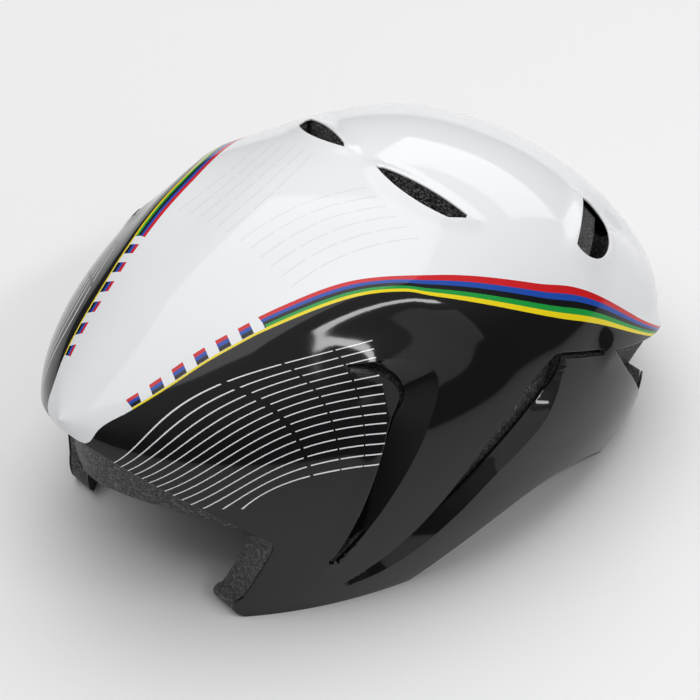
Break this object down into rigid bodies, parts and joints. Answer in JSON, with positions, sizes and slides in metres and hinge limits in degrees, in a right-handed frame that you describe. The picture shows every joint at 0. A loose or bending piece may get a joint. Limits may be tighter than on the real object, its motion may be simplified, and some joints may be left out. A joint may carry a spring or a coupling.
{
  "type": "cycling helmet",
  "caption": "Aero time trial cycling helmet: glossy teardrop shell over a foam liner, with side and crown vents, pads, strap harness and a dial that draws in the rear cradle.",
  "frame": {"origin": "on the surface the rim stands on, below the middle of the helmet's outline", "axes": "+X is the wearer's left, -Y is the brow, +Z is the crown; the middle plane is x = 0"},
  "size_m": [0.204, 0.2916, 0.1415],
  "materials": {
    "gloss_shell": "gloss, white over the crown and black round it",
    "foam": "matt beaded foam",
    "pad_fabric": "brushed knit",
    "hook_fabric": "hook tape",
    "webbing": "woven",
    "moulded_nylon": "satin",
    "dial_grip": "matt",
    "screw_steel": "zinc"
  },
  "bodies": {
    "helmet": {"outer_shell": "gloss_shell", "eps_liner": "foam", "brow_pad": "pad_fabric", "crown_pad": "pad_fabric", "left_crown_pad": "pad_fabric", "right_crown_pad": "pad_fabric", "left_side_pad": "pad_fabric", "right_side_pad": "pad_fabric", "chin_pad": "pad_fabric", "hook_discs": "hook_fabric", "left_front_strap": "webbing", "right_front_strap": "webbing", "left_rear_strap": "webbing", "right_rear_strap": "webbing", "left_chin_strap": "webbing", "right_chin_strap": "webbing", "left_temple_anchor": "moulded_nylon", "right_temple_anchor": "moulded_nylon", "left_front_anchor": "moulded_nylon", "right_front_anchor": "moulded_nylon", "left_rear_anchor": "moulded_nylon", "right_rear_anchor": "moulded_nylon", "hanger_guide": "moulded_nylon", "left_divider": "moulded_nylon", "right_divider": "moulded_nylon", "buckle_socket": "moulded_nylon", "buckle_plug": "moulded_nylon", "strap_keeper": "moulded_nylon"},
    "cradle": {"cradle_frame": "moulded_nylon", "left_cradle_pad": "pad_fabric", "right_cradle_pad": "pad_fabric", "dial_case": "moulded_nylon", "case_plate": "moulded_nylon", "case_screws": "screw_steel"},
    "left_band": {"left_band": "moulded_nylon"},
    "right_band": {"right_band": "moulded_nylon"},
    "dial": {"pinion": "moulded_nylon", "dial_knob": "dial_grip", "knob_screw": "screw_steel"},
    "left_lever": {"left_divider_lever": "moulded_nylon"},
    "right_lever": {"right_divider_lever": "moulded_nylon"}
  },
  "joints": [
    {"name": "cradle_height", "type": "hinge", "parent": "helmet", "child": "cradle", "pos_m": [0, -0.064, 0.03], "axis": [1, 0, 0], "range_deg": [0, 3.5]},
    {"name": "dial_turn", "type": "hinge", "parent": "cradle", "child": "dial", "pos_m": [0, 0.088, 0.03], "axis": [0, -1, 0], "range_deg": [0, 68.75]},
    {"name": "left_band_slide", "type": "slide", "parent": "cradle", "child": "left_band", "axis": [-1, 0, 0], "range_m": [0, 0.006]},
    {"name": "right_band_slide", "type": "slide", "parent": "cradle", "child": "right_band", "axis": [1, 0, 0], "range_m": [0, 0.006]},
    {"name": "left_lever_hinge", "type": "hinge", "parent": "helmet", "child": "left_lever", "pos_m": [0.058, -0.0289, 0.0068], "axis": [1, 0, 0], "range_deg": [0, 100]},
    {"name": "right_lever_hinge", "type": "hinge", "parent": "helmet", "child": "right_lever", "pos_m": [-0.058, -0.0289, 0.0068], "axis": [1, 0, 0], "range_deg": [0, 100]}
  ],
  "couplings": [
    {"joint": "left_band_slide", "follows": "dial_turn", "m_per_rad": 0.005},
    {"joint": "right_band_slide", "follows": "dial_turn", "m_per_rad": 0.005}
  ]
}
